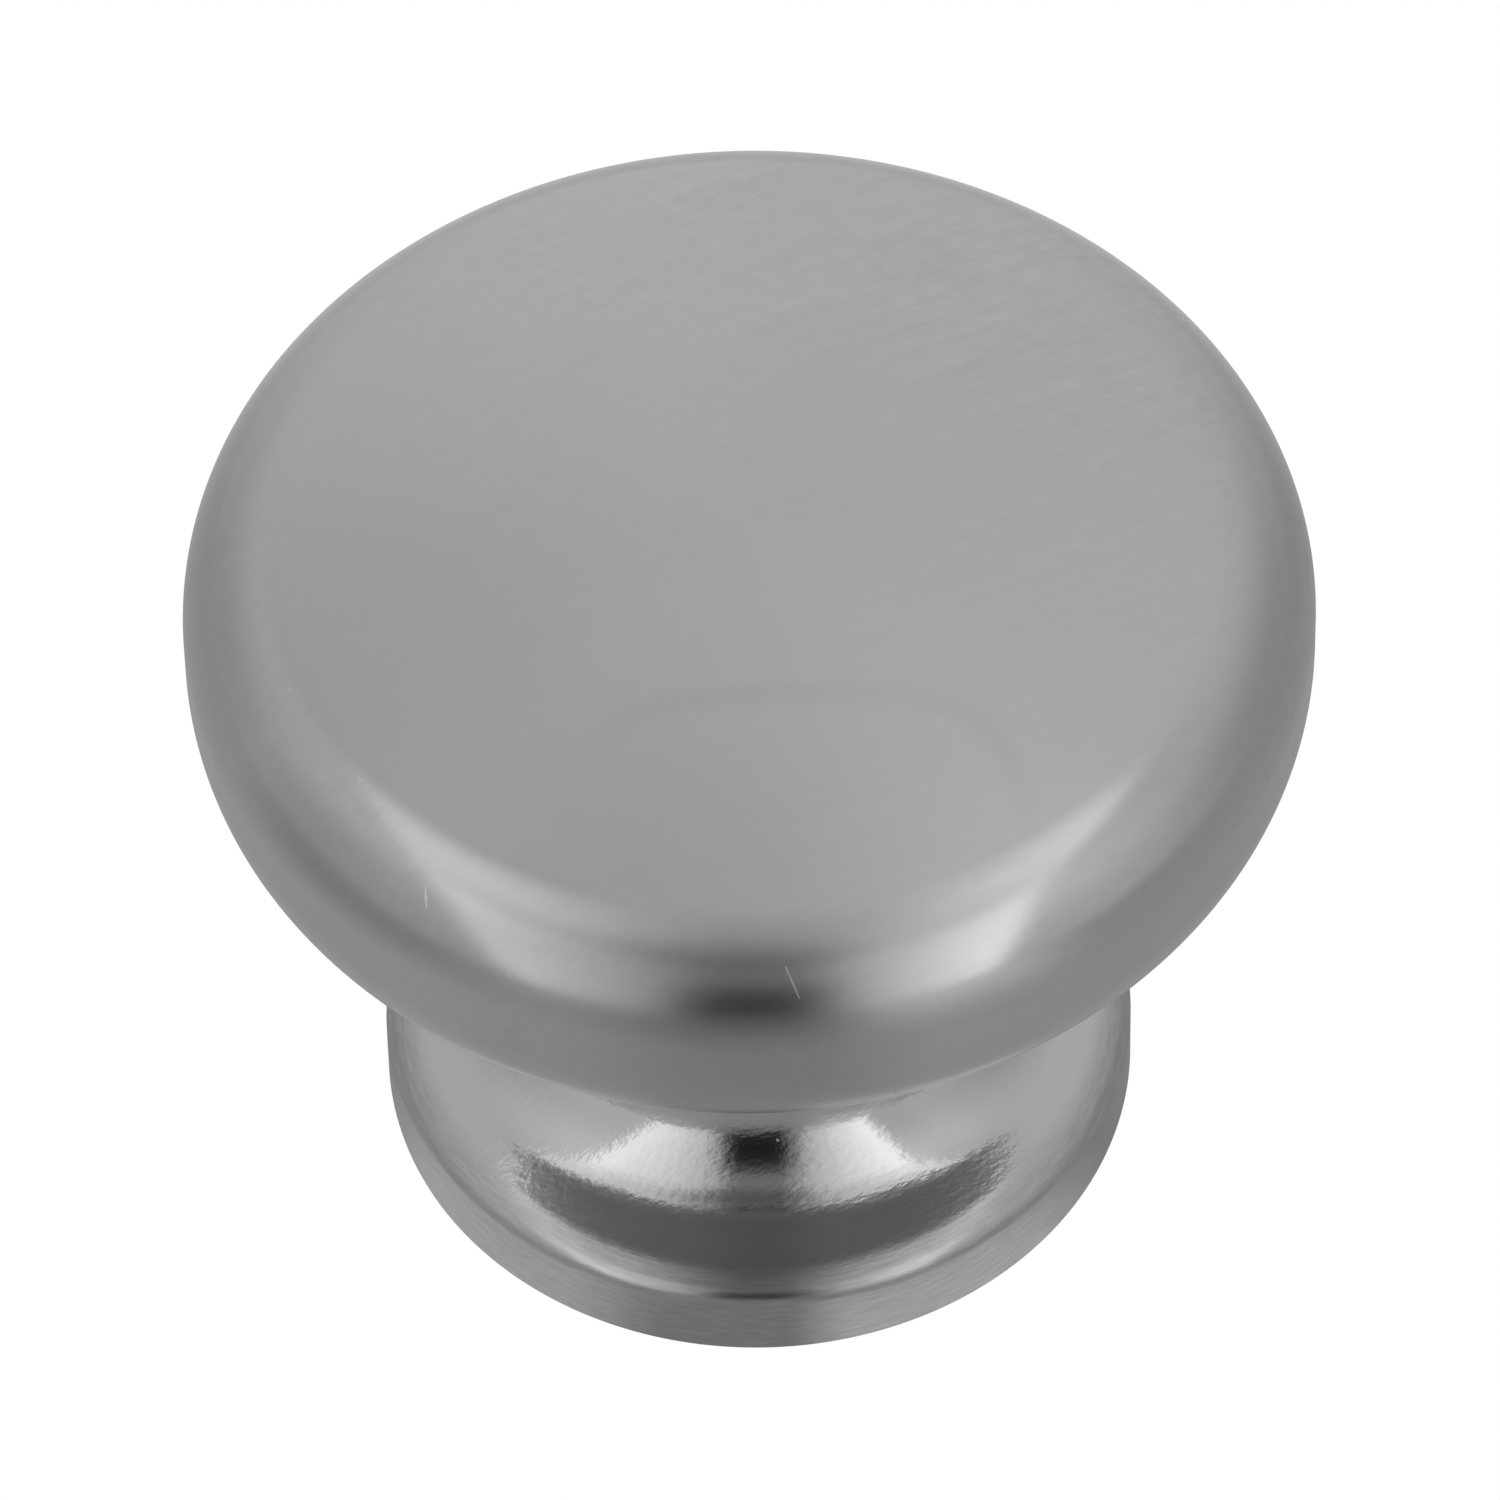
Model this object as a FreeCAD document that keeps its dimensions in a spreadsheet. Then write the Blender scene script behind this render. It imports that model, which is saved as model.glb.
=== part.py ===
# Cabinet knob: a mushroom head, a narrow neck and a flared foot in one solid piece
# of nickel-plated metal, with a blind tapped hole in the foot for the fixing screw.
# Frame: +Z runs from the foot to the crown, the origin is the centre of the seat,
# and all sizes are in millimetres.

import FreeCAD, Part

import math
import os

import Sketcher
from FreeCAD import Vector

PARTS_FOLDER = "parts"

# The driving dimensions: alias, value, and what it measures.
SIZES = [
    ("overall_height", 24.5, "projection from the door to the top of the crown"),
    ("head_diameter", 32.0, "widest circle of the head"),
    ("crown_radius", 120.0, "radius of the slightly domed top"),
    ("rim_upper_radius", 3.1, "rounding between the crown and the side of the head"),
    ("rim_land", 1.15, "upright band between the two roundings of the rim"),
    ("rim_lower_radius", 4.3, "rounding between the side and the underside"),
    ("underside_slope", 12.0, "degrees that the underside falls towards the neck"),
    ("neck_diameter", 13.1, "narrowest part, mostly hidden by the head from above"),
    ("throat_radius", 3.0, "hollow rounding between the underside and the neck"),
    ("cove_radius", 3.9, "hollow rounding between the neck and the foot"),
    ("foot_diameter", 21.8, "widest circle of the foot"),
    ("foot_slope", 20.1, "degrees that the top of the foot falls outwards"),
    ("shoulder_radius", 4.1, "slow rounding at the outer end of that slope"),
    ("shoulder_turn", 9.9, "degrees that the slow rounding turns"),
    ("corner_radius", 0.65, "quick rounding from there down to the foot's side"),
    ("foot_land", 1.93, "height of the foot's upright side"),
    ("heel_radius", 0.12, "broken edge where the foot meets the door"),
    ("recess_diameter", 15.0, "shallow relief inside the seat"),
    ("recess_depth", 0.6, "depth of the relief, so that only its ring bears"),
    ("thread_depth", 11.0, "full thread, from the floor of the relief"),
    ("drill_depth", 13.0, "straight part of the tapping hole, same start"),
    ("mouth_diameter", 4.6, "countersink at the mouth of the thread"),
]
# Roundings that the wall beside them limits, and the reach of those walls.
LIMITS = [
    ("foot_reach", "(foot_diameter - neck_diameter) / 2", "from the neck out to the foot's side"),
    ("head_reach", "(head_diameter - neck_diameter) / 2", "from the neck out to the head's side"),
    ("cove_fit", "min(cove_radius; 0.92 * foot_reach; 0.16 * overall_height)", "the cove, within its room"),
    ("shoulder_fit", "min(shoulder_radius; 0.96 * foot_reach)", "the slow rounding, likewise"),
    ("corner_fit", "min(corner_radius; 0.16 * foot_reach)", "the quick rounding, likewise"),
    ("throat_fit", "min(throat_radius; 0.34 * head_reach; 0.125 * overall_height)", "the throat, likewise"),
    ("rim_lower_fit", "min(rim_lower_radius; 0.47 * head_reach)", "the lower rim rounding, likewise"),
]
THREAD_SIZE = "M4x0.7"
MOUTH_ANGLE = 90.0
DRILL_POINT_ANGLE = 118.0


def make_sheet(doc):
    """Puts the sizes and limits in a sheet, one row each, and returns their values."""
    sheet = doc.addObject("Spreadsheet::Sheet", "sizes")
    rows = SIZES + [(alias, f"={formula}", meaning) for alias, formula, meaning in LIMITS]
    for row, (alias, value, meaning) in enumerate(rows, start=1):
        sheet.set(f"A{row}", alias)
        sheet.set(f"B{row}", str(value))
        sheet.set(f"C{row}", meaning)
        sheet.setAlias(f"B{row}", alias)
    doc.recompute()
    return {alias: sheet.get(alias) for alias, value, meaning in rows}


def origin_feature(body, role):
    """The plane or axis of a body's own origin that has this role."""
    return next(o for o in body.Origin.OriginFeatures if o.Role == role)


def new_sketch(body, name, role):
    """An empty sketch on one of the body's origin planes."""
    sketch = body.newObject("Sketcher::SketchObject", name)
    sketch.AttachmentSupport = [(origin_feature(body, role), "")]
    sketch.MapMode = "FlatFace"
    return sketch


def drive(sketch, constraint, name, formula):
    """Adds a named constraint and binds it to the sheet."""
    index = sketch.addConstraint(constraint)
    sketch.renameConstraint(index, name)
    sketch.setExpression(f"Constraints.{name}", formula)


def outline_centres(size):
    """Centres of the outline's arcs, bottom to top, worked out from tangency."""
    head_radius = size["head_diameter"] / 2
    neck_radius = size["neck_diameter"] / 2
    foot_radius = size["foot_diameter"] / 2
    fall = math.radians(size["foot_slope"])
    rise = math.radians(size["underside_slope"])

    heel = Vector(foot_radius - size["heel_radius"], size["heel_radius"], 0)
    corner = Vector(foot_radius - size["corner_fit"], size["heel_radius"] + size["foot_land"], 0)

    # The corner and the shoulder meet where both have the same normal.
    meet = fall + math.radians(size["shoulder_turn"])
    inward = size["shoulder_fit"] - size["corner_fit"]
    shoulder = corner - Vector(math.sin(meet), math.cos(meet), 0) * inward

    # The foot's sloping top is tangent to the shoulder below it and the cove above it.
    across = Vector(math.sin(fall), math.cos(fall), 0)
    cove = Vector(neck_radius + size["cove_fit"], 0, 0)
    reach = shoulder.dot(across) + size["shoulder_fit"] + size["cove_fit"]
    cove.y = (reach - cove.x * across.x) / across.y

    # The crown is tangent to the rim's upper rounding.
    upper = Vector(head_radius - size["rim_upper_radius"], 0, 0)
    crown = Vector(0, size["overall_height"] - size["crown_radius"], 0)
    span = size["crown_radius"] - size["rim_upper_radius"]
    upper.y = crown.y + math.sqrt(span**2 - upper.x**2)
    lower = Vector(head_radius - size["rim_lower_fit"], upper.y - size["rim_land"], 0)

    # The underside is tangent to the rim's lower rounding and to the throat.
    below = Vector(math.sin(rise), -math.cos(rise), 0)
    throat = Vector(neck_radius + size["throat_fit"], 0, 0)
    reach = lower.dot(below) + size["rim_lower_fit"] + size["throat_fit"]
    throat.y = (reach - throat.x * below.x) / below.y
    return heel, corner, shoulder, cove, throat, lower, upper, crown


def draw_outline(sketch, size):
    """Draws the half section as a closed chain of lines and tangent arcs."""
    heel, corner, shoulder, cove, throat, lower, upper, crown = outline_centres(size)
    fall = size["foot_slope"]
    meet = fall + size["shoulder_turn"]
    rise = size["underside_slope"]
    crown_turn = math.degrees(math.atan2(upper.x, upper.y - crown.y))
    up = Vector(0, 0, 1)

    def arc(centre, radius, start, end):
        return Part.ArcOfCircle(Part.Circle(centre, up, radius), math.radians(start), math.radians(end))

    heel_arc = arc(heel, size["heel_radius"], 270, 360)
    corner_arc = arc(corner, size["corner_fit"], 0, 90 - meet)
    shoulder_arc = arc(shoulder, size["shoulder_fit"], 90 - meet, 90 - fall)
    cove_arc = arc(cove, size["cove_fit"], 180, 270 - fall)
    throat_arc = arc(throat, size["throat_fit"], 90 + rise, 180)
    lower_arc = arc(lower, size["rim_lower_fit"], 270 + rise, 360)
    upper_arc = arc(upper, size["rim_upper_radius"], 0, 90 - crown_turn)
    crown_arc = arc(crown, size["crown_radius"], 90 - crown_turn, 90)
    foot = Vector(0, 0, 0)
    top = Vector(0, size["overall_height"], 0)

    pieces = {
        "seat": Part.LineSegment(foot, heel_arc.StartPoint),
        "heel": heel_arc,
        "foot_side": Part.LineSegment(heel_arc.EndPoint, corner_arc.StartPoint),
        "corner": corner_arc,
        "shoulder": shoulder_arc,
        "foot_top": Part.LineSegment(shoulder_arc.EndPoint, cove_arc.EndPoint),
        "cove": cove_arc,
        "neck": Part.LineSegment(cove_arc.StartPoint, throat_arc.EndPoint),
        "throat": throat_arc,
        "underside": Part.LineSegment(throat_arc.StartPoint, lower_arc.StartPoint),
        "rim_lower": lower_arc,
        "rim_side": Part.LineSegment(lower_arc.EndPoint, upper_arc.StartPoint),
        "rim_upper": upper_arc,
        "crown": crown_arc,
        "axis": Part.LineSegment(top, foot),
    }
    return {name: sketch.addGeometry(piece, False) for name, piece in pieces.items()}


def constrain_outline(sketch, part, size):
    """Fixes the outline: tangent joints, upright and level lines, and the driven sizes."""
    start, end, middle = 1, 2, 3
    origin_point = (-1, 1)
    joints = [
        ("heel", end, "foot_side", start),
        ("foot_side", end, "corner", start),
        ("corner", end, "shoulder", start),
        ("shoulder", end, "foot_top", start),
        ("foot_top", end, "cove", end),
        ("cove", start, "neck", start),
        ("neck", end, "throat", end),
        ("throat", start, "underside", start),
        ("underside", end, "rim_lower", start),
        ("rim_lower", end, "rim_side", start),
        ("rim_side", end, "rim_upper", start),
        ("rim_upper", end, "crown", start),
        ("seat", end, "heel", start),
    ]
    for first, first_end, second, second_end in joints:
        sketch.addConstraint(Sketcher.Constraint("Tangent", part[first], first_end, part[second], second_end))
    sketch.addConstraint(Sketcher.Constraint("Coincident", part["crown"], end, part["axis"], start))
    sketch.addConstraint(Sketcher.Constraint("Coincident", part["axis"], end, part["seat"], start))
    sketch.addConstraint(Sketcher.Constraint("Coincident", part["seat"], start, *origin_point))
    sketch.addConstraint(Sketcher.Constraint("Horizontal", part["seat"]))
    sketch.addConstraint(Sketcher.Constraint("PointOnObject", part["crown"], middle, part["axis"]))
    for upright in ("foot_side", "neck", "rim_side", "axis"):
        sketch.addConstraint(Sketcher.Constraint("Vertical", part[upright]))

    def radius(name, alias):
        value = sketch.Geometry[part[name]].Radius
        drive(sketch, Sketcher.Constraint("Radius", part[name], value), alias, f"sizes.{alias}")

    def from_origin(direction, name, point, alias, formula):
        at = sketch.getPoint(part[name], point)
        value = at.x if direction == "DistanceX" else at.y
        bound = Sketcher.Constraint(direction, *origin_point, part[name], point, value)
        drive(sketch, bound, alias, formula)

    radius("heel", "heel_radius")
    radius("corner", "corner_fit")
    radius("shoulder", "shoulder_fit")
    radius("cove", "cove_fit")
    radius("throat", "throat_fit")
    radius("rim_lower", "rim_lower_fit")
    radius("rim_upper", "rim_upper_radius")
    radius("crown", "crown_radius")
    from_origin("DistanceX", "foot_side", start, "foot_radius", "sizes.foot_diameter / 2")
    from_origin("DistanceX", "neck", start, "neck_radius", "sizes.neck_diameter / 2")
    from_origin("DistanceX", "rim_side", start, "head_radius", "sizes.head_diameter / 2")
    from_origin("DistanceY", "crown", end, "overall_height", "sizes.overall_height")
    for name, alias in (("foot_side", "foot_land"), ("rim_side", "rim_land")):
        line = sketch.Geometry[part[name]]
        length = line.StartPoint.distanceToPoint(line.EndPoint)
        drive(sketch, Sketcher.Constraint("Distance", part[name], length), alias, f"sizes.{alias}")
    for name, alias in (("foot_top", "foot_slope"), ("underside", "underside_slope")):
        line = sketch.Geometry[part[name]]
        run = line.EndPoint - line.StartPoint
        lean = math.atan2(run.y, run.x)
        formula = f"sizes.{alias} * 1 deg"
        if name == "foot_top":
            formula = f"180 deg - {formula}"
        drive(sketch, Sketcher.Constraint("Angle", part[name], lean), alias, formula)
    turn = math.radians(size["shoulder_turn"])
    turned = Sketcher.Constraint("Angle", part["shoulder"], turn)
    drive(sketch, turned, "shoulder_turn", "sizes.shoulder_turn * 1 deg")


def make_circle_sketch(body, name, alias, height=None):
    """A circle round the knob's axis, level with the seat or a named height above it."""
    sketch = new_sketch(body, name, "XY_Plane")
    if height:
        sketch.setExpression("AttachmentOffset.Base.z", f"sizes.{height}")
    circle = Part.Circle(Vector(0, 0, 0), Vector(0, 0, 1), 2.0)
    index = sketch.addGeometry(circle, False)
    sketch.addConstraint(Sketcher.Constraint("Coincident", index, 3, -1, 1))
    drive(sketch, Sketcher.Constraint("Diameter", index, 4.0), alias, f"sizes.{alias}")
    return sketch


def make_knob(doc, size):
    """Turns the outline, relieves the seat and drills the tapping hole."""
    body = doc.addObject("PartDesign::Body", "knob")
    body.Label = "knob"

    outline = new_sketch(body, "outline", "XZ_Plane")
    constrain_outline(outline, draw_outline(outline, size), size)
    doc.recompute()
    turned = body.newObject("PartDesign::Revolution", "turned_form")
    turned.Profile = outline
    turned.ReferenceAxis = (outline, ["V_Axis"])
    turned.Angle = 360.0
    doc.recompute()

    relief = body.newObject("PartDesign::Pocket", "seat_relief")
    relief.Profile = make_circle_sketch(body, "relief_circle", "recess_diameter")
    relief.Reversed = True
    relief.setExpression("Length", "sizes.recess_depth")
    doc.recompute()

    mouth = make_circle_sketch(body, "hole_place", "mouth_diameter", height="recess_depth")
    doc.recompute()
    hole = body.newObject("PartDesign::Hole", "tapped_hole")
    hole.Profile = mouth
    hole.Reversed = True
    doc.recompute()
    hole.ThreadType = "ISOMetricProfile"
    hole.ThreadSize = THREAD_SIZE
    hole.Threaded = True
    hole.DepthType = "Dimension"
    hole.setExpression("Depth", "sizes.drill_depth")
    hole.ThreadDepthType = "Dimension"
    hole.setExpression("ThreadDepth", "sizes.thread_depth")
    hole.DrillPoint = "Angled"
    hole.DrillPointAngle = DRILL_POINT_ANGLE
    hole.HoleCutType = "Countersink"
    hole.HoleCutCustomValues = True
    hole.setExpression("HoleCutDiameter", "sizes.mouth_diameter")
    hole.HoleCutCountersinkAngle = MOUTH_ANGLE
    doc.recompute()
    return body


def check(doc, bodies):
    """Stops the build if any object failed, or a piece isn't one valid closed solid."""
    failed = [o.Name for o in doc.Objects if {"Invalid", "Error"} & set(o.State)]
    if failed:
        raise RuntimeError(f"these objects failed: {failed}")
    for body in bodies:
        shape = body.Shape
        if shape.isNull() or not shape.isValid() or len(shape.Solids) != 1:
            raise RuntimeError(f"{body.Label} is not one valid solid")


def main():
    doc = FreeCAD.newDocument("cabinet_knob")
    size = make_sheet(doc)
    bodies = [make_knob(doc, size)]
    doc.recompute()
    check(doc, bodies)
    os.makedirs(PARTS_FOLDER, exist_ok=True)
    for body in bodies:
        body.Shape.exportStep(os.path.join(PARTS_FOLDER, f"{body.Label}.step"))
        box = body.Shape.optimalBoundingBox(True, False)
        print(f"{body.Label}: {box.XLength:.2f} x {box.YLength:.2f} x {box.ZLength:.2f} mm, "
              f"{body.Shape.Volume / 1000:.3f} cm3")


main()
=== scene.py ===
import math

import bpy
from mathutils import Matrix, Vector


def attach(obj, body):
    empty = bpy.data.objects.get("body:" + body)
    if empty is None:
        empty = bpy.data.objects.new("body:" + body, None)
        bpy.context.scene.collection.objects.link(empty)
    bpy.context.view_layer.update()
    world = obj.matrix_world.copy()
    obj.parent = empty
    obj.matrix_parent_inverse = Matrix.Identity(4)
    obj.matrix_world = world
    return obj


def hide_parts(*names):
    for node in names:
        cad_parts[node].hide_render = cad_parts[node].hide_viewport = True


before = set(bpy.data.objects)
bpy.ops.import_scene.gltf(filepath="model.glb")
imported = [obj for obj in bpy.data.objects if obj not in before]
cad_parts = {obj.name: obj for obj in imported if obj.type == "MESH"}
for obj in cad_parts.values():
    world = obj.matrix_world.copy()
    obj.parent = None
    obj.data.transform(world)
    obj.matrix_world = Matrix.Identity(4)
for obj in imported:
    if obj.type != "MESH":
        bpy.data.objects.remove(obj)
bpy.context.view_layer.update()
print("frame loaded")

mm = 0.001

# camera: the photograph's own angle, far enough off that the rim hardly tapers
viewSizes = {
    "elevation": 51.5,
    "distance": 0.400,
    "aimHeight": 14.14 * mm,
    "focalPixels": 13980.0,
    "framePixels": 1500.0,
    "roll": -0.0232,
    "sideways": 2.48,
}


def makeCamera(sizes):
    tilt = math.radians(sizes["elevation"])
    level = Vector((1, 0, 0))
    above = Vector((0, math.sin(tilt), math.cos(tilt)))
    back = level.cross(above)
    turn = sizes["roll"]
    right = level * math.cos(turn) + above * math.sin(turn)
    up = above * math.cos(turn) - level * math.sin(turn)
    place = Vector((0, 0, sizes["aimHeight"])) + back * sizes["distance"]
    data = bpy.data.cameras.new("camera")
    data.sensor_width = 36
    data.lens = sizes["focalPixels"] * 36 / sizes["framePixels"]
    data.shift_x = -sizes["sideways"] / sizes["framePixels"]
    data.clip_start = 0.01
    data.clip_end = 20
    camera = bpy.data.objects.new("camera", data)
    bpy.context.collection.objects.link(camera)
    turned = Matrix((right, up, back)).transposed().to_4x4()
    camera.matrix_world = Matrix.Translation(place) @ turned
    bpy.context.scene.camera = camera


makeCamera(viewSizes)
print("camera")

# knob: the turned form, with the same sizes as the solid, in millimetres
knobSizes = {
    "height": 24.5,
    "headRadius": 16.0,
    "crownRadius": 120.0,
    "rimUpper": 3.1,
    "rimLand": 1.15,
    "rimLower": 4.3,
    "undersideSlope": 12.0,
    "neckRadius": 6.55,
    "throat": 3.0,
    "cove": 3.9,
    "footRadius": 10.9,
    "footSlope": 20.1,
    "footShoulder": 4.1,
    "shoulderTurn": 9.9,
    "footCorner": 0.65,
    "footLand": 1.93,
    "heel": 0.12,
    "recessRadius": 7.5,
    "recessDepth": 0.6,
    "mouthRadius": 2.3,
    "boreRadius": 1.65,
    "boreDepth": 13.0,
    "pitch": 0.7,
    "grooveDepth": 0.35,
    "crestFlat": 0.25,  # shares of the pitch
    "rootFlat": 0.125,
    "threadDepth": 11.0,
    "drillPoint": 0.6,  # height of the hole's point over its radius
    "stepsPerPitch": 10,
    "around": 240,
}


def arcPoints(centre, radius, start, end, count):
    turns = [math.radians(start + (end - start) * i / count) for i in range(count + 1)]
    return [(centre[0] + radius * math.cos(t), centre[1] + radius * math.sin(t)) for t in turns]


def outsideArcs(s):  # the half section's arcs: centre, radius, first angle, last angle, steps
    fall = math.radians(s["footSlope"])
    rise = math.radians(s["undersideSlope"])
    heel = (s["footRadius"] - s["heel"], s["heel"])
    corner = (s["footRadius"] - s["footCorner"], s["heel"] + s["footLand"])
    cornerTurn = 90 - s["footSlope"] - s["shoulderTurn"]
    meet = math.radians(cornerTurn)
    inward = s["footShoulder"] - s["footCorner"]
    shoulder = (corner[0] - inward * math.cos(meet), corner[1] - inward * math.sin(meet))
    coveX = s["neckRadius"] + s["cove"]
    reach = shoulder[0] * math.sin(fall) + shoulder[1] * math.cos(fall) + s["footShoulder"] + s["cove"]
    cove = (coveX, (reach - coveX * math.sin(fall)) / math.cos(fall))
    upperX = s["headRadius"] - s["rimUpper"]
    crownZ = s["height"] - s["crownRadius"]
    upper = (upperX, crownZ + math.sqrt((s["crownRadius"] - s["rimUpper"]) ** 2 - upperX ** 2))
    lower = (s["headRadius"] - s["rimLower"], upper[1] - s["rimLand"])
    throatX = s["neckRadius"] + s["throat"]
    reach = lower[0] * math.sin(rise) - lower[1] * math.cos(rise) + s["rimLower"] + s["throat"]
    throat = (throatX, (throatX * math.sin(rise) - reach) / math.cos(rise))
    crownTurn = math.degrees(math.atan2(upper[0], upper[1] - crownZ))
    return {
        "crown": ((0, crownZ), s["crownRadius"], 90, 90 - crownTurn, 24),
        "rimUpper": (upper, s["rimUpper"], 90 - crownTurn, 0, 30),
        "rimLower": (lower, s["rimLower"], 0, s["undersideSlope"] - 90, 30),
        "throat": (throat, s["throat"], 90 + s["undersideSlope"], 180, 14),
        "cove": (cove, s["cove"], 180, 270 - s["footSlope"], 28),
        "shoulder": (shoulder, s["footShoulder"], 90 - s["footSlope"], cornerTurn, 6),
        "corner": (corner, s["footCorner"], cornerTurn, 0, 14),
        "heel": (heel, s["heel"], 0, -90, 4),
    }


def outsideLine(s):  # half section from the crown's edge down to the relief in the seat
    points = []
    for name, arc in outsideArcs(s).items():
        met = name in ("crown", "rimUpper", "corner")  # its first point is there already
        points += arcPoints(*arc)[1 if met else 0:]
    return points + [(s["recessRadius"], 0), (s["recessRadius"], s["recessDepth"])]


def boreWall(s, z, turn):  # the tapped hole: countersink, right-hand thread, then the plain drill
    mouth = s["mouthRadius"] - (z - s["recessDepth"])
    phase = (z / s["pitch"] - turn / (2 * math.pi)) % 1
    away = abs(phase - 0.5) * 2
    runOut = (s["recessDepth"] + s["threadDepth"] - z) / s["pitch"] + 1
    flank = (1 - s["crestFlat"] - away) / (1 - s["crestFlat"] - s["rootFlat"])
    groove = s["grooveDepth"] * min(1, max(0, flank)) * min(1, max(0, runOut))
    return max(mouth, s["boreRadius"] + groove)


def knobRings(s):
    turns = [2 * math.pi * i / s["around"] for i in range(s["around"])]
    rings = [[(r * math.cos(t), r * math.sin(t), z) for t in turns] for r, z in outsideLine(s)]
    step = s["pitch"] / s["stepsPerPitch"]
    count = round((s["threadDepth"] + s["pitch"]) / step)
    heights = [s["recessDepth"] + step * i for i in range(count + 1)] + [s["recessDepth"] + s["boreDepth"]]
    for z in heights:
        radii = [boreWall(s, z, t) for t in turns]
        rings.append([(r * math.cos(t), r * math.sin(t), z) for r, t in zip(radii, turns)])
    return rings


def turnedMesh(name, rings, top, tip):  # rings joined by faces, closed at both ends on the axis
    around = len(rings[0])
    verts = [(0, 0, top)] + [p for ring in rings for p in ring] + [(0, 0, tip)]
    faces = []
    for i in range(around):
        j = (i + 1) % around
        faces.append((0, 1 + i, 1 + j))
        for k in range(len(rings) - 1):
            a, b = 1 + k * around, 1 + (k + 1) * around
            faces.append((a + i, b + i, b + j, a + j))
        last = 1 + (len(rings) - 1) * around
        faces.append((last + i, len(verts) - 1, last + j))
    mesh = bpy.data.meshes.new(name)
    mesh.from_pydata([(x * mm, y * mm, z * mm) for x, y, z in verts], [], faces)
    mesh.polygons.foreach_set("use_smooth", [True] * len(mesh.polygons))
    mesh.update()
    mesh.set_sharp_from_angle(angle=math.radians(40))
    return mesh


# finish, with lengths in millimetres: a satin head brushed one way after turning, a brighter foot
nickelLook = {
    "topTone": (0.630, 0.610, 0.614),
    "rimTone": (0.617, 0.613, 0.611),
    "footTone": (0.687, 0.681, 0.675),
    "edgeTone": (0.530, 0.528, 0.526),
    # painted shade: the underside of the head, the throat and the neck are coloured darker, where shade
    # falls under the head
    "undersideShadeTone": (0.372, 0.356, 0.340),
    "headRoughness": 0.188,
    "frontRoughness": 0.066,  # added where the rim is handled
    "footRoughness": 0.095,
    "edgeRoughness": 0.250,
    "brushTurn": 27,
    "brushDepth": 1.15,  # micrometres
    "brushTint": 0.058,
    "pebbleDepth": 7.0,
    "grainDepth": 4.0,
    # painted shade: darkens the head's left rim where the left lamp's highlight falls; the same patch is
    # also a little rougher
    "highlightShadeTone": 0.76,
    "shadedPatchRoughness": 0.03,
    "grainTint": 0.10,
    "ringTint": 0.040,
    "nickTone": (0.88, 0.87, 0.85),
    "speckTone": (0.20, 0.19, 0.18),
    "nickRoughness": 0.5,
    "patchRoughness": 0.03,
    "roughest": 0.268,  # any rougher, and the denoised picture shows fine loops
    "headUp": (15.1, 16.3),  # where each look fades in or out, by height or radius
    "undersideShadeUp": (9.0, 11.5),
    "footUp": (8.0, 10.0),
    "castUp": (6.0, 9.8),
    "edgeOut": (9.7, 10.6),
    "rimOut": (12.6, 13.8),
    "shadedPatchUp": (20.8, 22.0),
    "shadedPatchEnd": (22.9, 23.6),
    "shadedPatchTurn": -34,  # degrees round from the front
    "shadedPatchSpread": (0.84, 0.97),
    "handledSpread": (0.90, 0.99),
    "longLines": {"Length": 3.8, "Width": 0.40},
    "fineLines": {"Length": 1.2, "Width": 0.16},
    "pebbles": {"Length": 0.42, "Width": 0.19},
    "grain": {"Around": 13.0, "Width": 0.14},
    "footGrain": 0.15,
    "patchiness": (0.35, 0.65, 0.6, 1.3),
    "fromFront": (-5, 15),
    "frontShare": 0.25,  # how strong the brushing is at the front, at the back and on the rim
    "backShare": 1.35,
    "rimShare": 0.7,
}
ringLook = {  # a faint mark on the crown, as a wet glass leaves
    "centre": (1.2, -12.2),
    "across": 6.3,
    "upward": 6.1,
    "width": 0.10,
    "squareness": 3.5,
    "backFade": (1.0, 3.5),
    "leftLeg": (-6.5, -4.5),
    "leftShare": 0.3,
}
nicks = [  # the arc that it is on, then its ends: degrees round from the front, degrees on the arc
    {"on": "rimUpper", "from": (-37.9, 51.5), "to": (-36.7, 42.0), "width": 0.055, "light": 0.55},
    {"on": "rimUpper", "from": (3.0, 52.0), "to": (4.2, 35.5), "width": 0.065, "light": 0.9},
    {"on": "rimUpper", "from": (-53.2, 75.5), "to": (-52.1, 75.0), "width": 0.05, "light": 0.35},
    {"on": "rimUpper", "from": (-69.0, 73.0), "to": (-68.2, 73.5), "width": 0.05, "light": 0.35},
    {"on": "cove", "from": (3.6, 209.5), "to": (3.9, 210.5), "width": 0.075, "light": 1.0},
    {"on": "rimLower", "from": (13.6, -21.5), "to": (13.9, -22.5), "width": 0.07, "light": 0.6,
     "tone": "speckTone"},
]


def facing(turn):  # level direction, in degrees round from the front
    return (math.sin(math.radians(turn)), -math.cos(math.radians(turn)), 0.0)


def onArc(name, turn, rise):  # a place on the outside
    (x, z), radius, *_ = outsideArcs(knobSizes)[name]
    out = x + radius * math.cos(math.radians(rise))
    up = z + radius * math.sin(math.radians(rise))
    return tuple(out * mm * part for part in facing(turn)[:2]) + (up * mm,)


def nodeOf(tree, kind, **settings):
    node = tree.nodes.new("ShaderNode" + kind)
    for name, value in settings.items():
        setattr(node, name, value)
    return node


def feed(tree, socket, value):  # a link where the value is another node's socket
    if isinstance(value, bpy.types.NodeSocket):
        tree.links.new(value, socket)
    else:
        socket.default_value = value


def mathOf(tree, operation, *values):
    node = nodeOf(tree, "Math", operation=operation)
    for socket, value in zip(node.inputs, values):
        feed(tree, socket, value)
    return node.outputs[0]


def vectorOf(tree, operation, *values):
    node = nodeOf(tree, "VectorMath", operation=operation)
    for socket, value in zip(node.inputs, values):
        feed(tree, socket, value)
    return node.outputs["Value" if operation in ("LENGTH", "DISTANCE", "DOT_PRODUCT") else "Vector"]


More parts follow.
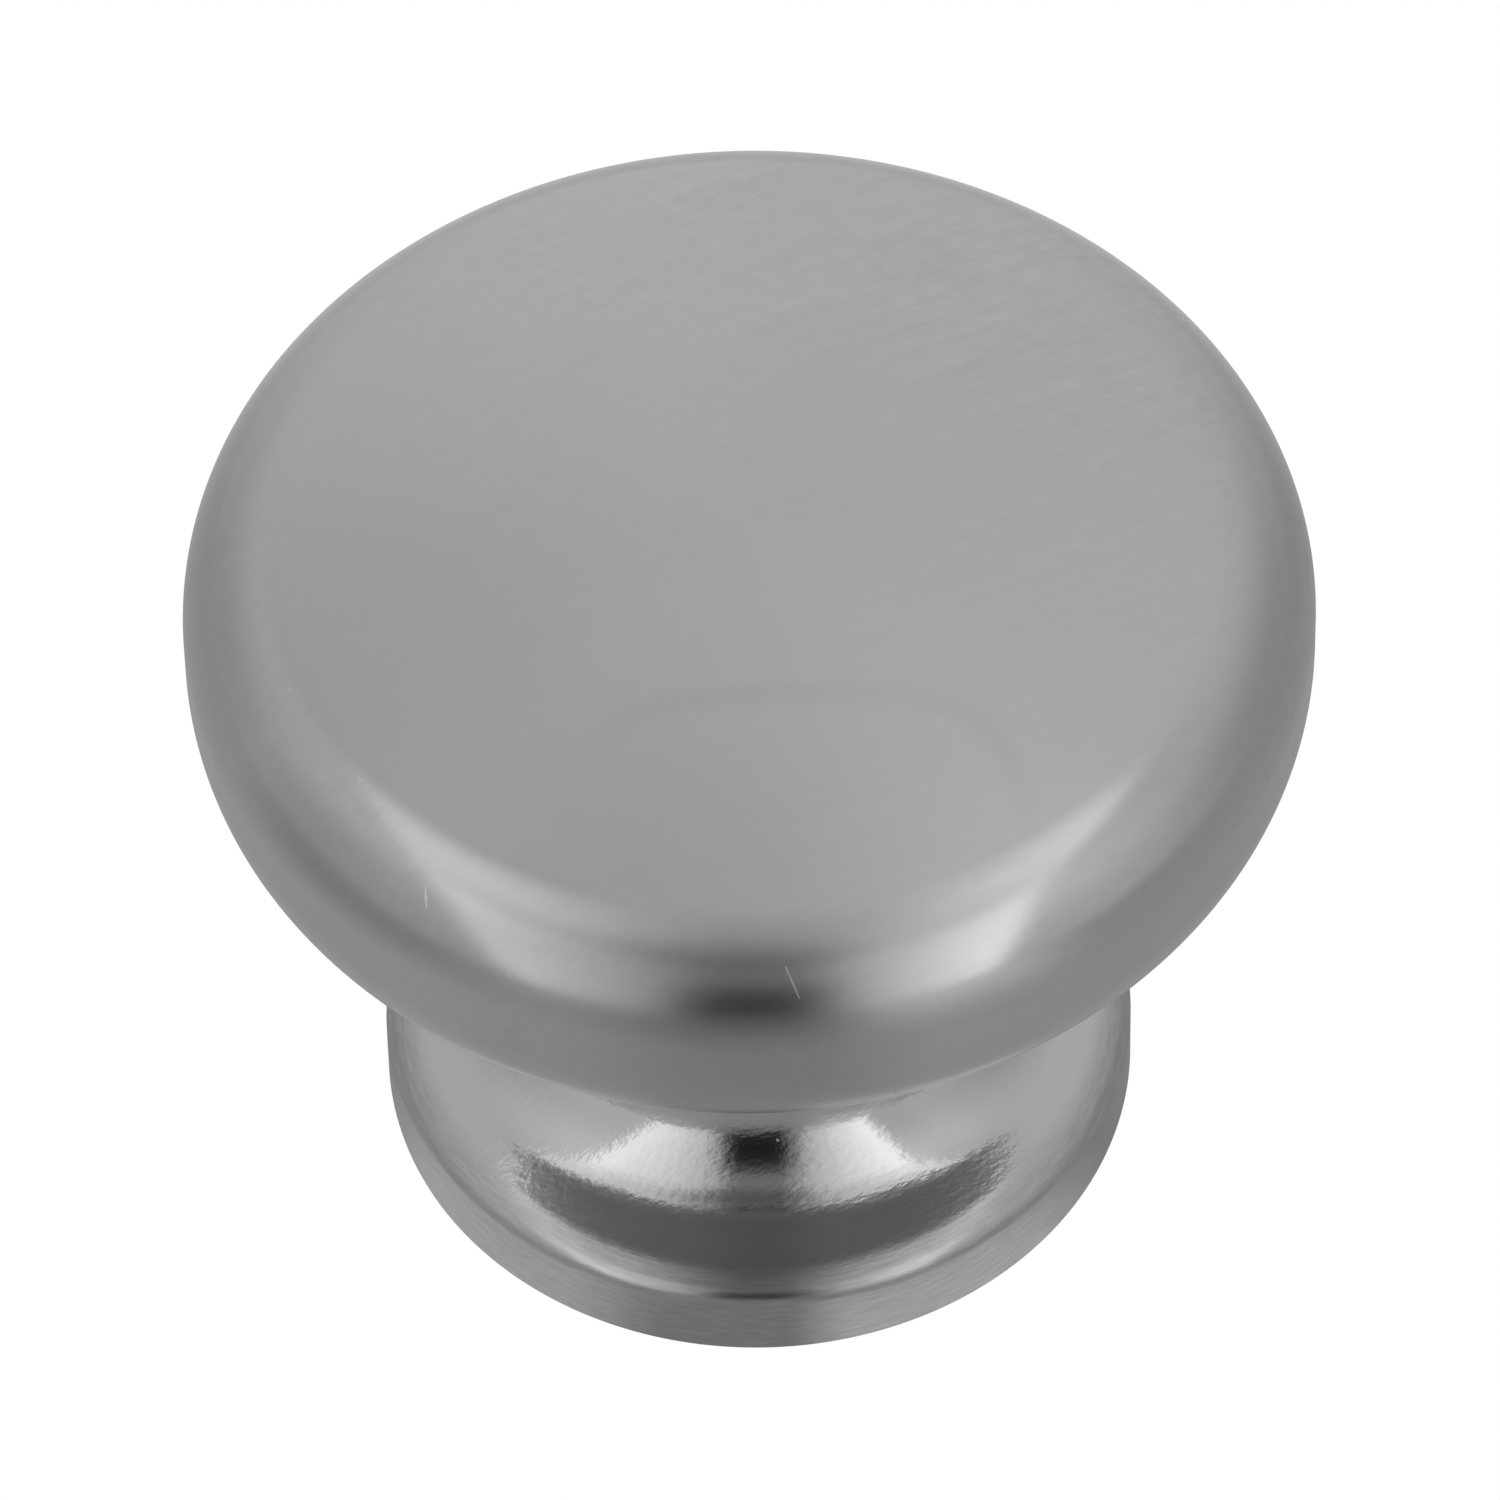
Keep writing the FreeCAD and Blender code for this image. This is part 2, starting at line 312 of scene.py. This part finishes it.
def scaled(tree, vector, factor):
    node = nodeOf(tree, "VectorMath", operation="SCALE")
    feed(tree, node.inputs["Vector"], vector)
    feed(tree, node.inputs["Scale"], factor)
    return node.outputs["Vector"]


def eased(tree, value, low, high, start=0.0, end=1.0):
    node = nodeOf(tree, "MapRange", interpolation_type="SMOOTHSTEP")
    for socket, given in zip(node.inputs, (value, low, high, start, end)):
        feed(tree, socket, given)
    return node.outputs["Result"]


def within(tree, value, span, start=0.0, end=1.0):  # eased over a span in millimetres
    return eased(tree, value, span[0] * mm, span[1] * mm, start, end)


def mixedTone(tree, share, first, second):
    node = nodeOf(tree, "Mix", data_type="RGBA")
    feed(tree, node.inputs["Factor"], share)
    for name, value in (("A", first), ("B", second)):
        socket = next(i for i in node.inputs if i.name == name and i.type == "RGBA")
        feed(tree, socket, value if isinstance(value, bpy.types.NodeSocket) else (*value, 1))
    return next(o for o in node.outputs if o.type == "RGBA")


def mixedValue(tree, share, first, second):
    node = nodeOf(tree, "Mix", data_type="FLOAT")
    feed(tree, node.inputs["Factor"], share)
    feed(tree, node.inputs["A"], first)
    feed(tree, node.inputs["B"], second)
    return node.outputs["Result"]


def makeGroup(name, inputs, outputs):
    group = bpy.data.node_groups.new(name, "ShaderNodeTree")
    for title, kind, value in inputs:
        socket = group.interface.new_socket(name=title, in_out="INPUT", socket_type=kind)
        if value is not None:
            socket.default_value = value
    for title, kind in outputs:
        group.interface.new_socket(name=title, in_out="OUTPUT", socket_type=kind)
    return group, group.nodes.new("NodeGroupInput"), group.nodes.new("NodeGroupOutput")


def makeBrushLines():  # long thin marks: Length along them, Width across, turned about the knob's axis
    inputs = [("Vector", "NodeSocketVector", None), ("Turn", "NodeSocketFloat", 0.0),
              ("Length", "NodeSocketFloat", 4.0), ("Width", "NodeSocketFloat", 0.1)]
    group, given, result = makeGroup("brushLines", inputs, [("Lines", "NodeSocketFloat")])
    turned = nodeOf(group, "VectorRotate", rotation_type="Z_AXIS")
    feed(group, turned.inputs["Vector"], given.outputs["Vector"])
    feed(group, turned.inputs["Angle"], mathOf(group, "MULTIPLY", given.outputs["Turn"], math.radians(-1)))
    along = mathOf(group, "DIVIDE", 1000.0, given.outputs["Length"])
    across = mathOf(group, "DIVIDE", 1000.0, given.outputs["Width"])
    stretch = nodeOf(group, "CombineXYZ")
    for socket, value in zip(stretch.inputs, (along, across, across)):
        feed(group, socket, value)
    place = vectorOf(group, "MULTIPLY", turned.outputs[0], stretch.outputs[0])
    noise = nodeOf(group, "TexNoise")
    feed(group, noise.inputs["Vector"], place)
    noise.inputs["Scale"].default_value = 1.0
    noise.inputs["Detail"].default_value = 2.0
    noise.inputs["Roughness"].default_value = 0.55
    feed(group, result.inputs["Lines"], noise.outputs["Fac"])
    return group


def makeTurningLines():  # the same marks, but round the axis, as a lathe or a wheel leaves them
    inputs = [("Vector", "NodeSocketVector", None), ("Around", "NodeSocketFloat", 5.0),
              ("Width", "NodeSocketFloat", 0.1)]
    group, given, result = makeGroup("turningLines", inputs, [("Lines", "NodeSocketFloat")])
    parts = nodeOf(group, "SeparateXYZ")
    feed(group, parts.inputs[0], given.outputs["Vector"])
    level = nodeOf(group, "CombineXYZ")
    feed(group, level.inputs[0], parts.outputs[0])
    feed(group, level.inputs[1], parts.outputs[1])
    radius = vectorOf(group, "LENGTH", level.outputs[0])
    heading = scaled(group, vectorOf(group, "NORMALIZE", level.outputs[0]), given.outputs["Around"])
    slant = mathOf(group, "SUBTRACT", radius, parts.outputs[2])
    down = mathOf(group, "DIVIDE", slant, given.outputs["Width"])
    rise = nodeOf(group, "CombineXYZ")
    feed(group, rise.inputs[2], mathOf(group, "MULTIPLY", down, 1000.0))
    noise = nodeOf(group, "TexNoise")
    feed(group, noise.inputs["Vector"], vectorOf(group, "ADD", heading, rise.outputs[0]))
    noise.inputs["Scale"].default_value = 1.0
    noise.inputs["Detail"].default_value = 2.0
    noise.inputs["Roughness"].default_value = 0.6
    feed(group, result.inputs["Lines"], noise.outputs["Fac"])
    return group


def makeNickMask():  # 1 on a short scratch from Start to End, tapering to its ends
    inputs = [("Vector", "NodeSocketVector", None), ("Start", "NodeSocketVector", None),
              ("End", "NodeSocketVector", None), ("Width", "NodeSocketFloat", 0.00006)]
    group, given, result = makeGroup("nickMask", inputs, [("Mask", "NodeSocketFloat")])
    run = vectorOf(group, "SUBTRACT", given.outputs["End"], given.outputs["Start"])
    away = vectorOf(group, "SUBTRACT", given.outputs["Vector"], given.outputs["Start"])
    along = vectorOf(group, "DOT_PRODUCT", away, run)
    share = mathOf(group, "DIVIDE", along, vectorOf(group, "DOT_PRODUCT", run, run))
    share = mathOf(group, "MINIMUM", mathOf(group, "MAXIMUM", share, 0.0), 1.0)
    gap = vectorOf(group, "DISTANCE", away, scaled(group, run, share))
    fromMiddle = mathOf(group, "ABSOLUTE", mathOf(group, "MULTIPLY_ADD", share, 2.0, -1.0))
    middle = mathOf(group, "SUBTRACT", 1.0, fromMiddle)
    taper = mathOf(group, "MULTIPLY_ADD", middle, 0.65, 0.35)
    wide = mathOf(group, "MULTIPLY", given.outputs["Width"], taper)
    mask = eased(group, mathOf(group, "DIVIDE", gap, wide), 0.25, 1.0, 1.0, 0.0)
    feed(group, result.inputs["Mask"], mask)
    return group


def makeRingMark(mark):  # 1 on the back half of a rounded ring; Width is its share of the ring
    inputs = [("Vector", "NodeSocketVector", None), ("Across", "NodeSocketFloat", 0.006),
              ("Upward", "NodeSocketFloat", 0.006), ("Width", "NodeSocketFloat", 0.06)]
    group, given, result = makeGroup("ringMark", inputs, [("Mask", "NodeSocketFloat")])
    parts = nodeOf(group, "SeparateXYZ")
    centre = (mark["centre"][0] * mm, mark["centre"][1] * mm, 0.0)
    feed(group, parts.inputs[0], vectorOf(group, "SUBTRACT", given.outputs["Vector"], centre))
    powers = []
    for part, reach in ((parts.outputs[0], "Across"), (parts.outputs[1], "Upward")):
        share = mathOf(group, "ABSOLUTE", mathOf(group, "DIVIDE", part, given.outputs[reach]))
        powers.append(mathOf(group, "POWER", share, mark["squareness"]))
    outline = mathOf(group, "POWER", mathOf(group, "ADD", *powers), 1 / mark["squareness"])
    gap = mathOf(group, "ABSOLUTE", mathOf(group, "SUBTRACT", outline, 1.0))
    mask = eased(group, mathOf(group, "DIVIDE", gap, given.outputs["Width"]), 0.1, 1.0, 1.0, 0.0)
    mask = mathOf(group, "MULTIPLY", mask, within(group, parts.outputs[1], mark["backFade"]))
    leftLeg = within(group, parts.outputs[0], mark["leftLeg"], mark["leftShare"], 1.0)
    mask = mathOf(group, "MULTIPLY", mask, leftLeg)
    feed(group, result.inputs["Mask"], mask)
    return group


def groupNode(tree, group, **values):
    node = nodeOf(tree, "Group", node_tree=group)
    for name, value in values.items():
        feed(tree, node.inputs[name], value)
    return node.outputs[0]


def nickelMaterial(look):
    brushLines, turningLines = makeBrushLines(), makeTurningLines()
    nickMask, ringMark = makeNickMask(), makeRingMark(ringLook)
    material = bpy.data.materials.new("satinNickel")
    material.use_nodes = True
    tree = material.node_tree
    shader = tree.nodes["Principled BSDF"]
    shader.inputs["Metallic"].default_value = 1.0
    shader.inputs["Anisotropic"].default_value = 0.6
    shader.inputs["Anisotropic Rotation"].default_value = 0.25
    tangent = nodeOf(tree, "Tangent", direction_type="RADIAL", axis="Z")
    feed(tree, shader.inputs["Tangent"], tangent.outputs[0])

    place = nodeOf(tree, "TexCoord").outputs["Object"]
    parts = nodeOf(tree, "SeparateXYZ")
    feed(tree, parts.inputs[0], place)
    height = parts.outputs[2]
    level = nodeOf(tree, "CombineXYZ")
    feed(tree, level.inputs[0], parts.outputs[0])
    feed(tree, level.inputs[1], parts.outputs[1])
    radius = vectorOf(tree, "LENGTH", level.outputs[0])
    heading = vectorOf(tree, "NORMALIZE", level.outputs[0])

    # where things are
    head = within(tree, height, look["headUp"])
    under = within(tree, height, look["undersideShadeUp"])
    shadedUnderside = mathOf(tree, "MULTIPLY", under, mathOf(tree, "SUBTRACT", 1.0, head))
    foot = within(tree, height, look["footUp"], 1.0, 0.0)
    edge = mathOf(tree, "MULTIPLY", foot, within(tree, radius, look["edgeOut"]))
    rim = within(tree, radius, look["rimOut"])
    toSide = vectorOf(tree, "DOT_PRODUCT", heading, facing(look["shadedPatchTurn"]))
    side = eased(tree, toSide, *look["shadedPatchSpread"])
    above = within(tree, height, look["shadedPatchUp"])
    band = mathOf(tree, "MULTIPLY", above, within(tree, height, look["shadedPatchEnd"], 1.0, 0.0))
    rougherShadedPatch = mathOf(tree, "MULTIPLY", side, band)
    toFront = vectorOf(tree, "DOT_PRODUCT", heading, facing(0))
    front = eased(tree, toFront, *look["handledSpread"])
    handled = mathOf(tree, "MULTIPLY", mathOf(tree, "MULTIPLY", head, rim), front)
    patches = nodeOf(tree, "TexNoise")
    feed(tree, patches.inputs["Vector"], place)
    patches.inputs["Scale"].default_value = 260.0
    patches.inputs["Detail"].default_value = 2.0

    # the marks
    brushTurn = look["brushTurn"]
    longLines = groupNode(tree, brushLines, Vector=place, Turn=brushTurn, **look["longLines"])
    fineLines = groupNode(tree, brushLines, Vector=place, Turn=brushTurn + 3, **look["fineLines"])
    grain = groupNode(tree, turningLines, Vector=place, **look["grain"])
    pebble = groupNode(tree, brushLines, Vector=place, Turn=brushTurn, **look["pebbles"])
    mottle = nodeOf(tree, "TexNoise")
    feed(tree, mottle.inputs["Vector"], place)
    mottle.inputs["Scale"].default_value = 1900.0
    mottle.inputs["Detail"].default_value = 3.0
    fromFront = vectorOf(tree, "DOT_PRODUCT", place, facing(180 - brushTurn))
    patchy = eased(tree, patches.outputs["Fac"], *look["patchiness"])
    strength = mathOf(tree, "MULTIPLY", head, patchy)
    further = within(tree, fromFront, look["fromFront"], look["frontShare"], look["backShare"])
    further = mathOf(tree, "MAXIMUM", further, mathOf(tree, "MULTIPLY", rim, look["rimShare"]))
    strength = mathOf(tree, "MULTIPLY", strength, further)
    lines = mathOf(tree, "ADD", mathOf(tree, "MULTIPLY", longLines, 1.4), fineLines)
    lines = mathOf(tree, "MULTIPLY_ADD", mottle.outputs["Fac"], 0.8, lines)
    depth = mathOf(tree, "MULTIPLY", mathOf(tree, "MULTIPLY", lines, look["brushDepth"]), strength)
    cast = within(tree, height, look["castUp"], 1.0, 0.0)
    cast = mathOf(tree, "MULTIPLY", cast, mathOf(tree, "SUBTRACT", 1.0, edge))
    pebbles = mathOf(tree, "MULTIPLY", mathOf(tree, "MULTIPLY", pebble, look["pebbleDepth"]), cast)
    turned = mathOf(tree, "MULTIPLY", foot, look["footGrain"])
    turned = mathOf(tree, "MULTIPLY_ADD", edge, 1 - look["footGrain"], turned)
    grooves = mathOf(tree, "MULTIPLY", mathOf(tree, "MULTIPLY", grain, look["grainDepth"]), turned)
    total = mathOf(tree, "ADD", depth, mathOf(tree, "ADD", pebbles, grooves))

    # colour
    # painted shade under the head: the underside, throat and neck get the darker tone
    tone = mixedTone(tree, shadedUnderside, look["footTone"], look["undersideShadeTone"])
    tone = mixedTone(tree, edge, tone, look["edgeTone"])
    tone = mixedTone(tree, head, tone, mixedTone(tree, rim, look["topTone"], look["rimTone"]))
    shades = mathOf(tree, "MULTIPLY_ADD", longLines, 0.35, mathOf(tree, "MULTIPLY", fineLines, 0.30))
    shades = mathOf(tree, "MULTIPLY_ADD", mottle.outputs["Fac"], 0.35, shades)
    tint = mathOf(tree, "MULTIPLY", mathOf(tree, "SUBTRACT", shades, 0.5), look["brushTint"] * 4)
    light = mathOf(tree, "ADD", 1.0, mathOf(tree, "MULTIPLY", tint, strength))
    # painted shade over the left rim's highlight
    light = mathOf(tree, "MULTIPLY", light, mixedValue(tree, rougherShadedPatch, 1.0, look["highlightShadeTone"]))
    streaks = mathOf(tree, "MULTIPLY", mathOf(tree, "SUBTRACT", grain, 0.5), look["grainTint"] * 4)
    light = mathOf(tree, "MULTIPLY", light, mathOf(tree, "MULTIPLY_ADD", streaks, edge, 1.0))
    across, upward = ringLook["across"] * mm, ringLook["upward"] * mm
    ring = groupNode(tree, ringMark, Vector=place, Across=across, Upward=upward, Width=ringLook["width"])
    light = mathOf(tree, "MULTIPLY", light, mathOf(tree, "MULTIPLY_ADD", ring, -look["ringTint"], 1.0))
    tone = scaled(tree, tone, light)

    # gloss
    rough = mixedValue(tree, edge, look["footRoughness"], look["edgeRoughness"])
    rough = mixedValue(tree, head, rough, look["headRoughness"])
    rough = mathOf(tree, "MULTIPLY_ADD", rougherShadedPatch, look["shadedPatchRoughness"], rough)
    rough = mathOf(tree, "MULTIPLY_ADD", handled, look["frontRoughness"], rough)
    uneven = mathOf(tree, "SUBTRACT", patches.outputs["Fac"], 0.5)
    rough = mathOf(tree, "MULTIPLY_ADD", uneven, look["patchRoughness"], rough)
    rough = mathOf(tree, "MINIMUM", rough, look["roughest"])

    for nick in nicks:
        start, end = (onArc(nick["on"], *nick[k]) for k in ("from", "to"))
        mask = groupNode(tree, nickMask, Vector=place, Start=start, End=end, Width=nick["width"] * mm)
        mask = mathOf(tree, "MULTIPLY", mask, nick["light"])
        tone = mixedTone(tree, mask, tone, look[nick.get("tone", "nickTone")])
        rough = mixedValue(tree, mask, rough, look["nickRoughness"])

    feed(tree, shader.inputs["Base Color"], tone)
    feed(tree, shader.inputs["Roughness"], rough)
    bump = nodeOf(tree, "Bump")
    bump.inputs["Distance"].default_value = 0.001 * mm
    feed(tree, bump.inputs["Height"], total)
    feed(tree, shader.inputs["Normal"], bump.outputs[0])
    return material


drillPoint = knobSizes["boreRadius"] * knobSizes["drillPoint"]
drillTip = knobSizes["recessDepth"] + knobSizes["boreDepth"] + drillPoint
knobMesh = turnedMesh("knobTurned", knobRings(knobSizes), knobSizes["height"], drillTip)
knob = bpy.data.objects.new("knobTurned", knobMesh)
bpy.context.collection.objects.link(knob)
knobMesh.materials.append(nickelMaterial(nickelLook))
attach(knob, "root")
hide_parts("knob")
print("knob", len(knobMesh.polygons))

# light tent: pale walls, a lamp panel on each side of the camera, and a dark opening between them.
# Azimuth 0 is the camera's side and grows to the right. Each fade is (start, end) in degrees.
tentSizes = {
    "radius": 0.9,
    "opening": [(0, 0.03), (12, 0.015), (22, 0.02), (30, 0.055), (38, 0.18), (44, 0.21),
                (52, 0.13), (58, 0.10), (64, 0.20), (72, 0.23), (88, 0.38)],  # elevation, tone
    "zenith": {"tone": 0.38, "fade": (65, 90)},
    "innerEdge": 14,
    "peak": 90,
    "sweepEnd": 61,
    "sweepOn": 20,  # degrees of azimuth for each degree of elevation past the sweep's end
    "overhead": (45, 60),
    "overheadBlur": 1.5,
    "lowFade": (-8, 9),
    "backFade": (115, 180),
    "liftUp": (10, 50),
    "liftBack": (120, 165),
    "meet": (165, 180),
    "backLift": {"left": 0.11, "leftFade": (128, 165), "right": 0.06, "rightFade": (158, 178),
                 "below": (36, 51)},
    "lean": {"left": -0.09, "middle": -0.015, "right": 0.05, "middleFade": (0, 13), "sideFade": (30, 50),
             "rise": (45, 53), "fall": (63, 72)},
}
rightLamp = {
    "edge": {"start": 36, "lean": 0.20, "sweep": 250, "top": 64.4},
    "edgeBlur": 6.5,
    "openingEdge": (5.4, 19.0),
    "overheadEdge": 16,
    "inner": 0.45,
    "outer": 1.34,
    "low": 0.66,
    "high": 0.99,
    "back": 0.60,
    "wall": {"beside": 0.52, "side": 0.36, "back": 0.60, "sideFade": (60, 105), "backFade": (115, 170)},
    "wallLift": 0.18,
}
leftLamp = {
    "edge": {"start": 35, "lean": 0.32, "sweep": 350, "top": 64.7},
    "edgeBlur": 7.0,
    "openingEdge": (8.5, 21.5),
    "overheadEdge": 35,
    "inner": 0.46,
    "outer": 1.25,
    "low": 0.64,
    "high": 0.87,
    "back": 0.42,
    "wall": {"beside": 0.55, "side": 0.38, "back": 0.60, "sideFade": (60, 120), "backFade": (115, 185)},
    "wallLift": 0.15,
}
# painted light and shade: the floor glows for reflections only, and its close ring paints the floor next
# to the foot brighter on both sides of the front and darker beside and behind the knob
floorSizes = {  # tones by azimuth, on three rings of the floor
    "radius": 1.0,
    "close": {"front": 0.285, "right": 0.62, "left": 0.56, "side": 0.300, "back": 0.60},
    "near": {"front": 0.29, "right": 0.36, "left": 0.36, "side": 0.37, "back": 0.65},
    "far": {"front": 0.15, "right": 0.60, "left": 0.45, "side": 0.35, "back": 0.55},
    "closeFades": {"right": (3, 15), "rightEnd": (40, 72), "left": (14, 36), "leftEnd": (60, 92)},
    "fades": {"right": (5, 30), "rightEnd": (38, 58), "left": (5, 35), "leftEnd": (38, 58)},
    "backFade": (125, 165),
    "closeEnd": (11.8 * mm, 15.0 * mm),
    "nearEnd": (15 * mm, 110 * mm),
    "leftLift": 0.025,
    "drop": 0.05 * mm,  # so that the seat and the floor don't share a plane
}


def ramp(pairs, at):  # straight lines between the pairs
    if at <= pairs[0][0]:
        return pairs[0][1]
    for (a, u), (b, v) in zip(pairs, pairs[1:]):
        if at <= b:
            return u + (v - u) * (at - a) / (b - a)
    return pairs[-1][1]


def blend(start, end, at):  # 0 to 1, eased at both ends
    t = min(1, max(0, (at - start) / (end - start)))
    return t * t * (3 - 2 * t)


def mix(a, b, share):
    return a + (b - a) * share


def lampEdge(edge, elevation):  # azimuth of a lamp's far side, which leans out and then sweeps round
    level = min(elevation, tentSizes["sweepEnd"])
    onward = (elevation - level) * tentSizes["sweepOn"]
    return edge["start"] + edge["lean"] * level + edge["sweep"] / (edge["top"] - level) + onward


def wallTone(wall, azimuth):
    tone = mix(wall["beside"], wall["side"], blend(*wall["sideFade"], azimuth))
    return mix(tone, wall["back"], blend(*wall["backFade"], azimuth))


def sideGlow(lamp, azimuth, elevation):
    outer = lampEdge(lamp["edge"], elevation)
    first, peak = tentSizes["innerEdge"], min(outer, tentSizes["peak"])
    overhead = blend(*tentSizes["overhead"], elevation)
    strength = mix(lamp["outer"], lamp["high"], overhead)
    strength *= mix(lamp["low"], 1, blend(*tentSizes["lowFade"], elevation))
    inner = min(lamp["inner"], strength)
    glow = mix(inner, strength, min(1, max(0, (azimuth - first) / (peak - first))))
    glow = mix(glow, lamp["back"], blend(*tentSizes["backFade"], azimuth))
    lift = blend(*tentSizes["liftUp"], elevation) * (1 - blend(*tentSizes["liftBack"], azimuth))
    wall = wallTone(lamp["wall"], azimuth) + lamp["wallLift"] * lift
    blur = lamp["edgeBlur"] * (1 + tentSizes["overheadBlur"] * overhead)
    value = mix(glow, wall, blend(outer - blur / 2, outer + blur / 2, azimuth))
    start, end = lamp["openingEdge"]
    end += lamp["overheadEdge"] * overhead
    return mix(ramp(tentSizes["opening"], elevation), value, blend(start, end, azimuth))


def tentGlow(azimuth, elevation):
    away = abs(azimuth)
    lamp, side = (rightLamp, "right") if azimuth >= 0 else (leftLamp, "left")
    middle = (sideGlow(rightLamp, 180, elevation) + sideGlow(leftLamp, 180, elevation)) / 2
    value = mix(sideGlow(lamp, away, elevation), middle, blend(*tentSizes["meet"], away))
    zenith, lift, lean = tentSizes["zenith"], tentSizes["backLift"], tentSizes["lean"]
    value = mix(value, zenith["tone"], blend(*zenith["fade"], elevation))
    share = lift[side] * blend(*lift[side + "Fade"], away)
    value *= 1 + share * (1 - blend(*lift["below"], elevation))
    share = mix(lean["middle"], lean[side], blend(*lean["middleFade"], 180 - away))
    share *= 1 - blend(*lean["sideFade"], 180 - away)
    return value * (1 + share * blend(*lean["rise"], elevation) * (1 - blend(*lean["fall"], elevation)))


def floorRingGlow(tone, azimuth, fades):
    away = abs(azimuth)
    side = "right" if azimuth >= 0 else "left"
    lit = mix(tone["front"], tone[side], blend(*fades[side], away))
    lit = mix(lit, tone["side"], blend(*fades[side + "End"], away))
    return mix(lit, tone["back"], blend(*floorSizes["backFade"], away))


def floorGlow(azimuth, distance):
    near, far = floorSizes["near"], floorSizes["far"]
    share = blend(*floorSizes["nearEnd"], distance)
    tone = {k: mix(near[k], far[k], share) for k in near}
    if azimuth < 0:
        tone["side"] += floorSizes["leftLift"]
    lit = floorRingGlow(tone, azimuth, floorSizes["fades"])
    beside = floorRingGlow(floorSizes["close"], azimuth, floorSizes["closeFades"])
    return mix(beside, lit, blend(*floorSizes["closeEnd"], distance))


def stagePiece(name, verts, faces, glow, whiteToCamera):  # it only shines, by its glow at each point
    mesh = bpy.data.meshes.new(name)
    mesh.from_pydata(verts, [], faces)
    layer = mesh.attributes.new("glow", "FLOAT", "POINT")
    layer.data.foreach_set("value", glow)
    material = bpy.data.materials.new(name)
    material.use_nodes = True
    material.cycles.emission_sampling = "NONE"
    nodes, links = material.node_tree.nodes, material.node_tree.links
    nodes.clear()
    read = nodes.new("ShaderNodeAttribute")
    read.attribute_name = "glow"
    shine = nodes.new("ShaderNodeEmission")
    links.new(read.outputs["Fac"], shine.inputs["Strength"])
    out = nodes.new("ShaderNodeOutputMaterial")
    if whiteToCamera:  # plain white from above, and clear from beneath so that the seat can be seen
        facing = nodes.new("ShaderNodeNewGeometry")
        white = nodes.new("ShaderNodeEmission")
        clear = nodes.new("ShaderNodeBsdfTransparent")
        looked = nodes.new("ShaderNodeMixShader")
        links.new(facing.outputs["Backfacing"], looked.inputs[0])
        links.new(white.outputs[0], looked.inputs[1])
        links.new(clear.outputs[0], looked.inputs[2])
        seen = nodes.new("ShaderNodeLightPath")
        blendIn = nodes.new("ShaderNodeMixShader")
        links.new(seen.outputs["Is Camera Ray"], blendIn.inputs[0])
        links.new(shine.outputs[0], blendIn.inputs[1])
        links.new(looked.outputs[0], blendIn.inputs[2])
        links.new(blendIn.outputs[0], out.inputs[0])
    else:
        links.new(shine.outputs[0], out.inputs[0])
    mesh.materials.append(material)
    piece = bpy.data.objects.new(name, mesh)
    bpy.context.collection.objects.link(piece)
    return piece


def makeTent():
    radius, step = tentSizes["radius"], 1.5
    columns, rows = round(360 / step), round(90 / step)
    verts, glow = [], []
    for r in range(rows + 1):
        for c in range(columns):
            azimuth, elevation = c * step - 180, min(r * step, 89.9)
            a, e = math.radians(azimuth), math.radians(elevation)
            flat = radius * math.cos(e)
            verts.append((flat * math.sin(a), -flat * math.cos(a), radius * math.sin(e)))
            glow.append(tentGlow(azimuth, elevation))
    faces = []
    for r in range(rows):
        for c in range(columns):
            d = (c + 1) % columns
            faces.append((r * columns + c, r * columns + d, (r + 1) * columns + d, (r + 1) * columns + c))
    tent = stagePiece("lightTent", verts, faces, glow, False)
    tent.visible_camera = False


def makeFloor():
    rings = [0, 9, 11] + [11.8 + 0.8 * i for i in range(4)] + [15.5, 17, 20]  # millimetres
    rings += list(range(24, 40, 3)) + [45, 52] + list(range(60, 111, 10)) + [200]
    distances = [ring * mm for ring in rings] + [floorSizes["radius"]]
    step = 1.5
    columns = round(360 / step)
    verts, glow = [], []
    for distance in distances:
        for c in range(columns):
            azimuth = c * step - 180
            a = math.radians(azimuth)
            verts.append((distance * math.sin(a), -distance * math.cos(a), -floorSizes["drop"]))
            glow.append(floorGlow(azimuth, distance))
    faces = []
    for r in range(len(distances) - 1):
        for c in range(columns):
            d = (c + 1) % columns
            faces.append((r * columns + c, (r + 1) * columns + c, (r + 1) * columns + d, r * columns + d))
    stagePiece("floor", verts, faces, glow, True)


def makeBackground():  # what the camera sees past the floor; the tent keeps it off the knob
    world = bpy.data.worlds.new("background")
    world.use_nodes = True
    shade = world.node_tree.nodes["Background"]
    shade.inputs["Color"].default_value = (1, 1, 1, 1)
    world.cycles.sampling_method = "NONE"
    bpy.context.scene.world = world


makeTent()
makeFloor()
makeBackground()
bpy.context.scene.view_settings.view_transform = "Standard"
print("studio")
